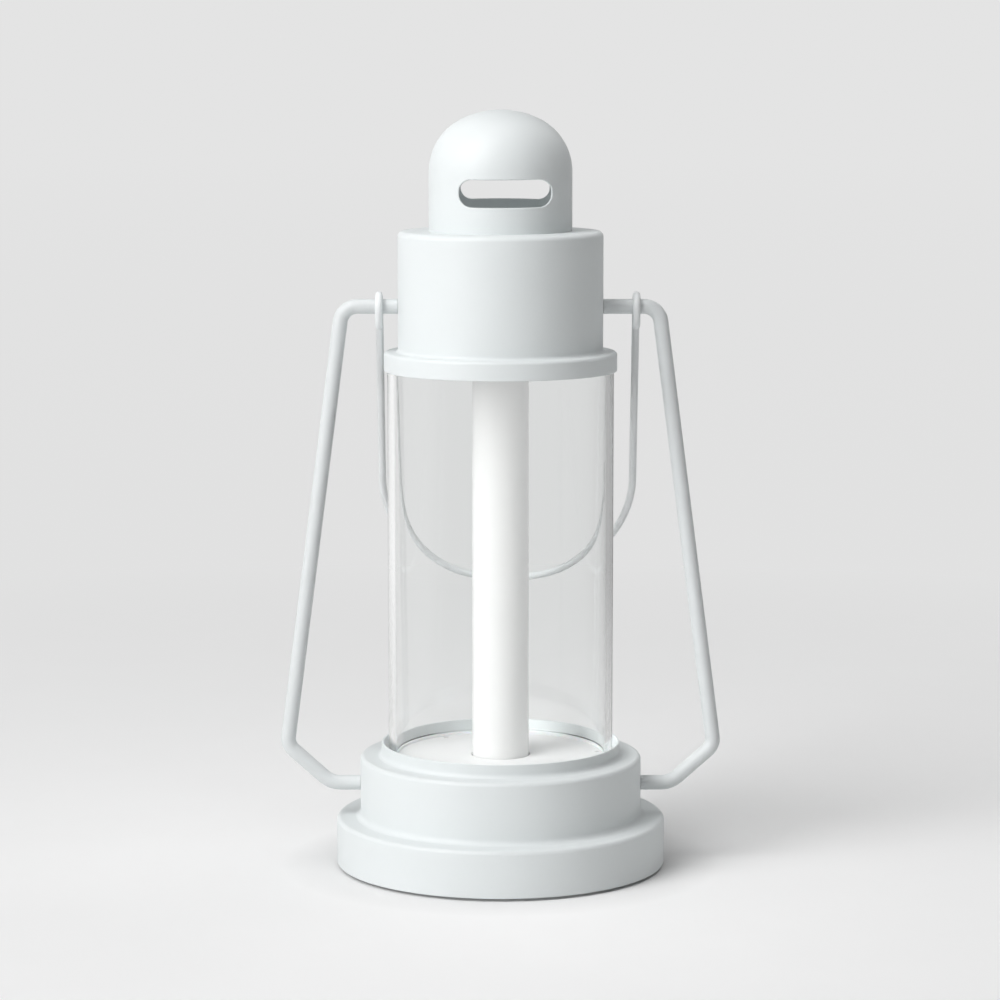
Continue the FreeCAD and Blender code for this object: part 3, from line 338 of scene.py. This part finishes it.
def cell_jacket(name):
    """A battery's plain two-tone jacket: a dark body and a pale band near each end along X."""
    material, tree = new_material(name)
    place = tree.position()
    along = tree.node("ShaderNodeSeparateXYZ", {"Vector": place}).outputs["X"]
    from_middle = tree.math("ABSOLUTE", along, 0.0)
    end = tree.spread(from_middle, 0.0, 1.0, *JACKET_BAND)
    metal = tree.spread(from_middle, 0.0, 1.0, *JACKET_RIM)
    scuff = tree.noise(tree.scaled(place, (0.15, 1.0, 1.0)), 0.5 * MM)
    body = tree.blend(tree.spread(scuff, 0.0, 1.0, 0.6, 0.8), JACKET_BODY, JACKET_SCUFF)
    colour = tree.blend(end, body, JACKET_PALE)
    colour = tree.blend(metal, colour, ZINC)
    inputs = {
        "Base Color": colour,
        "Metallic": metal,
        "Roughness": tree.spread(scuff, 0.22, 0.38),
    }
    tree.principled(inputs)
    return material


def phosphor(name):
    material, tree = new_material(name)
    mottled = tree.noise(tree.position(), 0.3 * MM)
    inputs = {
        "Base Color": tree.blend(mottled, (0.75, 0.60, 0.16), (0.86, 0.74, 0.30)),
        "Roughness": tree.spread(mottled, 0.25, 0.4),
        "Subsurface Weight": 0.2,
        "Subsurface Scale": 0.5 * MM,
    }
    tree.principled(inputs)
    return material


def make_materials():
    """One material for each of the record's slots, and for each finish in OWN_FINISH."""
    return {
        "white_paint": powder_coat("white_paint", WHITE_PAINT),
        "dome_paint_with_glow": powder_coat("dome_paint_with_glow", WHITE_PAINT, hollow=DOME_MIDDLE),
        "rod_paint_with_shade": powder_coat("rod_paint_with_shade", ROD_PAINT_WITH_SHADE, peel_size=0.6 * MM),
        "wire_paint": powder_coat("wire_paint", WIRE_PAINT, peel_size=0.6 * MM),
        "deck_paint": powder_coat("deck_paint", DECK_PAINT),
        "clear_glass": clear_glass("clear_glass"),
        "clear_silicone": clear_silicone("clear_silicone"),
        "opal_plastic": opal_tube("opal_plastic"),
        "white_plastic": moulded_plastic("white_plastic", (0.78, 0.79, 0.785)),
        "cover_plastic": moulded_plastic("cover_plastic", (0.76, 0.785, 0.79), gloss=0.5),
        "pad_rubber": soft_rubber("pad_rubber", (0.34, 0.345, 0.35)),
        "zinc_steel": plated_metal("zinc_steel", ZINC, 0.32),
        "blackened_steel": plated_metal("blackened_steel", BLACK_OXIDE, 0.40),
        "contact_metal": plated_metal("contact_metal", NICKEL, 0.28),
        "cell_jacket": cell_jacket("cell_jacket"),
        "switch_plastic": moulded_plastic("switch_plastic", (0.022, 0.023, 0.026), gloss=0.4),
        "socket_plastic": moulded_plastic("socket_plastic", (0.06, 0.06, 0.062), gloss=0.55),
        "board_laminate": laminate("board_laminate", (0.02, 0.12, 0.05), (0.05, 0.2, 0.09)),
        "component_plastic": moulded_plastic("component_plastic", (0.03, 0.03, 0.034), gloss=0.38),
        "lead_insulation": moulded_plastic("lead_insulation", (0.62, 0.62, 0.60), gloss=0.35),
        "bare_aluminium": plated_metal("bare_aluminium", ALUMINIUM, 0.3, stretch=(1.0, 1.0, 0.03)),
        "strip_laminate": laminate("strip_laminate", (0.80, 0.80, 0.78), (0.70, 0.70, 0.68)),
        "chip_phosphor": phosphor("chip_phosphor"),
    }


OWN_FINISH = {
    # The dome cap's coat carries a painted glow on its inside.
    "dome_cap": "dome_paint_with_glow",
    # The side rods take the darker copy of the white paint, painted shade.
    "left_side_rod": "rod_paint_with_shade",
    "right_side_rod": "rod_paint_with_shade",
    "deck_screws": "blackened_steel",
    "tube_base_socket": "socket_plastic",
}


def dress_nodes(materials):
    """Put each slot's material on its nodes, except the few with a finish of their own."""
    for name, node in NODES.items():
        finish = OWN_FINISH.get(name, SLOT_OF[name])
        node.data.materials.clear()
        node.data.materials.append(materials[finish])


# ---- Floor, world and lamps ---------------------------------------------------------------------

# Pairs are the start and the end of a range. Distances are from the lamp's axis.
FLOOR_RADIUS = 16.0
FLOOR_SEGMENTS = 96
FLOOR_COLOUR = (0.945, 0.945, 0.945)
FLOOR_MOTTLE = 60 * MM
LIT_TO_PLAIN = (0.13, 0.70)
BACKGROUND_NEAR = (0.755, 0.755, 0.755)
BACKGROUND_FAR = (0.775, 0.775, 0.775)
BACKGROUND_DEPTH = (1.0, 7.0)
# Painted contact shadow: the floor is darkened by CONTACT_SHADE next to the base, fading out over
# CONTACT_REACH.
CONTACT_REACH = (58 * MM, 78 * MM)
CONTACT_SHADE = 0.86
UNDER_REACH = (51 * MM, 54 * MM)
UNDER_LIGHT = 0.62

# What mirrored light sees, by the X and Y of its direction from the lamp.
STUDIO_BRIGHT = 1.25
STUDIO_DIM = 0.6
STUDIO_LEFT = (-0.30, -0.05)
STUDIO_BESIDE = (-0.65, -0.15)
NEAR_WALL_DEPTH = 2.5


def studio_tone(tree, direction):
    """A factor on the background: one in plain sight, and for mirrored light the studio's tone.

    The bright left side shows only in the glass wall nearest the eye, not in the far wall.
    """
    parts = tree.node("ShaderNodeSeparateXYZ", {"Vector": direction}).outputs
    rays = tree.node("ShaderNodeLightPath").outputs
    left = tree.spread(parts["X"], 1.0, 0.0, *STUDIO_LEFT)
    beside = tree.spread(parts["Y"], 0.0, 1.0, *STUDIO_BESIDE)
    near_wall = tree.math("LESS_THAN", rays["Transmission Depth"], NEAR_WALL_DEPTH)
    bright = tree.math("MULTIPLY", tree.math("MULTIPLY", left, beside), near_wall)
    studio = tree.spread(bright, STUDIO_DIM, STUDIO_BRIGHT, 0.0, 1.0)
    mirrored = tree.math("GREATER_THAN", rays["Glossy Depth"], 0.5)
    return tree.spread(mirrored, 1.0, studio, 0.0, 1.0)


def floor_material():
    """A pale matte floor whose distance fades to an even background colour, for sight only.

    The patch that the base hides gives off light, so that the underside shows from below.
    """
    material, tree = new_material("floor")
    place = tree.position()
    distance = tree.vector_math("LENGTH", place)
    mottled = tree.noise(place, FLOOR_MOTTLE)
    paper_and_contact_shade = tree.blend(tree.spread(mottled, 0.0, 1.0), shade(FLOOR_COLOUR, 0.992), FLOOR_COLOUR)
    # Painted contact shadow: the floor colour darkens close round the base.
    clear_of_base = tree.spread(distance, 0.0, 1.0, *CONTACT_REACH)
    paper_and_contact_shade = tree.blend(clear_of_base, shade(FLOOR_COLOUR, CONTACT_SHADE), paper_and_contact_shade)
    matte = tree.node("ShaderNodeBsdfDiffuse", {"Color": paper_and_contact_shade})
    depth = tree.node("ShaderNodeSeparateXYZ", {"Vector": place}).outputs["Y"]
    far = tree.spread(depth, 0.0, 1.0, *BACKGROUND_DEPTH)
    plain = tree.node("ShaderNodeEmission", {
        "Color": tree.blend(far, BACKGROUND_NEAR, BACKGROUND_FAR),
        "Strength": studio_tone(tree, tree.vector_math("NORMALIZE", place)),
    })
    fade = tree.spread(distance, 0.0, 1.0, *LIT_TO_PLAIN)
    top = tree.mix(tree.math("MULTIPLY", fade, tree.seen()), matte, plain)
    glow = tree.node("ShaderNodeEmission", {"Strength": UNDER_LIGHT})
    top = tree.mix(tree.spread(distance, 1.0, 0.0, *UNDER_REACH), top, glow)
    from_below = tree.node("ShaderNodeNewGeometry").outputs["Backfacing"]
    tree.output(tree.mix(from_below, top, tree.node("ShaderNodeBsdfTransparent")))
    return material


def make_floor():
    """A wide round floor that shows from above only, so that the underside can be looked at."""
    mesh = bpy.data.meshes.new("floor")
    shape = bmesh.new()
    bmesh.ops.create_circle(shape, cap_ends=True, segments=FLOOR_SEGMENTS,
                             radius=FLOOR_RADIUS)
    shape.to_mesh(mesh)
    shape.free()
    floor = bpy.data.objects.new("floor", mesh)
    mesh.materials.append(floor_material())
    bpy.context.collection.objects.link(floor)


WORLD_LIGHT = 0.085
WORLD_SEEN = 0.775


def make_world():
    """Even dim light all round, seen as the pale background."""
    world = bpy.data.worlds.new("world")
    bpy.context.scene.world = world
    tree = Tree(world)
    direction = tree.node("ShaderNodeTexCoord").outputs["Generated"]
    backdrop = tree.math("MULTIPLY", studio_tone(tree, direction), WORLD_SEEN)
    strength = tree.spread(tree.seen(), WORLD_LIGHT, backdrop, 0.0, 1.0)
    light = tree.node("ShaderNodeBackground", {"Color": (1.0, 1.0, 1.0), "Strength": strength})
    tree.output(light, "ShaderNodeOutputWorld")


# Name, azimuth (0 in front, positive to the right), elevation, distance, width, height, watts.
SOFTBOXES = (
    ("key_softbox", -48.0, 34.0, 2.6, 1.5, 3.0, 69.0),
    ("top_softbox", 0.0, 84.0, 1.8, 1.4, 1.4, 11.0),
    ("rim_softbox", 130.0, 42.0, 2.6, 1.6, 1.6, 8.5),
)


def make_softbox(name, azimuth, elevation, distance, width, height, watts):
    """An area light aimed at the middle of the view. Angles are in degrees."""
    data = bpy.data.lights.new(name, "AREA")
    data.shape = "RECTANGLE"
    data.size = width
    data.size_y = height
    data.energy = watts
    softbox = bpy.data.objects.new(name, data)
    turn = math.radians(azimuth)
    rise = math.radians(elevation)
    level = math.cos(rise)
    direction = Vector((math.sin(turn) * level, -math.cos(turn) * level, math.sin(rise)))
    softbox.location = AIM + direction * distance
    softbox.rotation_mode = "QUATERNION"
    softbox.rotation_quaternion = (-direction).to_track_quat("-Z", "Y")
    bpy.context.collection.objects.link(softbox)


# ---- The scene ----------------------------------------------------------------------------------

make_camera()
dress_nodes(make_materials())
make_floor()
make_world()
for softbox_values in SOFTBOXES:
    make_softbox(*softbox_values)

bpy.context.scene.view_settings.view_transform = "Standard"
